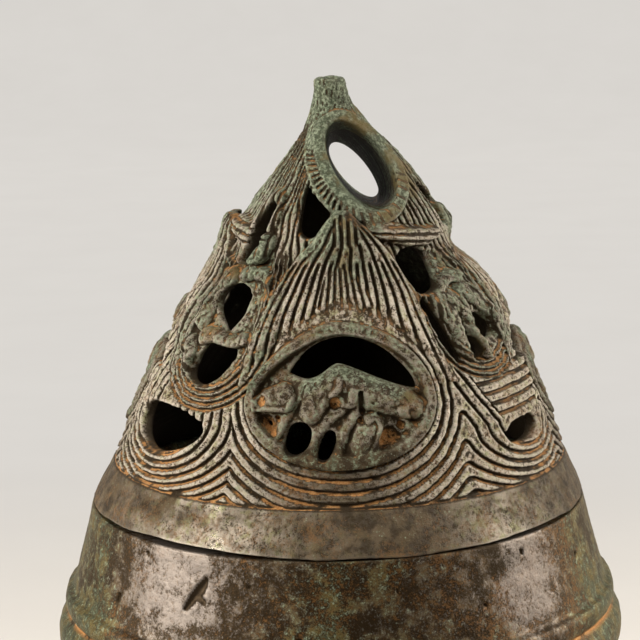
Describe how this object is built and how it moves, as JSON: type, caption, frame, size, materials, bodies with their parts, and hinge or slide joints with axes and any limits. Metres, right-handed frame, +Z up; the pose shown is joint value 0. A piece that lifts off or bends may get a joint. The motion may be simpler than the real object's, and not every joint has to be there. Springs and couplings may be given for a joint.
{
  "type": "bronze hill censer",
  "caption": "Bronze hill censer: a mountain-shaped openwork lid lifts off a banded round bowl, which stands on a knopped stem and flared foot riveted into a drip tray.",
  "frame": {"origin": "centre of the face that the tray stands on, on the censer's axis", "axes": "+Z up along the censer's axis; -Y is the front, with the beast's arch that faces the viewer"},
  "size_m": [0.176, 0.176, 0.2086],
  "materials": {
    "lid_bronze": "dark cast bronze, worn ridges, green patina and earth in the grooves",
    "bowl_bronze": "dark cast bronze, smooth and pitted, green and brown patina",
    "stand_bronze": "dark cast bronze, green and brown patina",
    "rivet_iron": "rusted wrought iron"
  },
  "bodies": {
    "stand": {"bowl": "bowl_bronze", "stem": "stand_bronze", "foot": "stand_bronze", "tray": "stand_bronze", "bowl_rivet": "rivet_iron", "tray_rivet": "rivet_iron"},
    "lid": {"lid": "lid_bronze"}
  },
  "joints": [
    {"name": "lid_lift", "type": "slide", "parent": "stand", "child": "lid", "axis": [0, 0, 1], "range_m": [0, 0.1]}
  ]
}
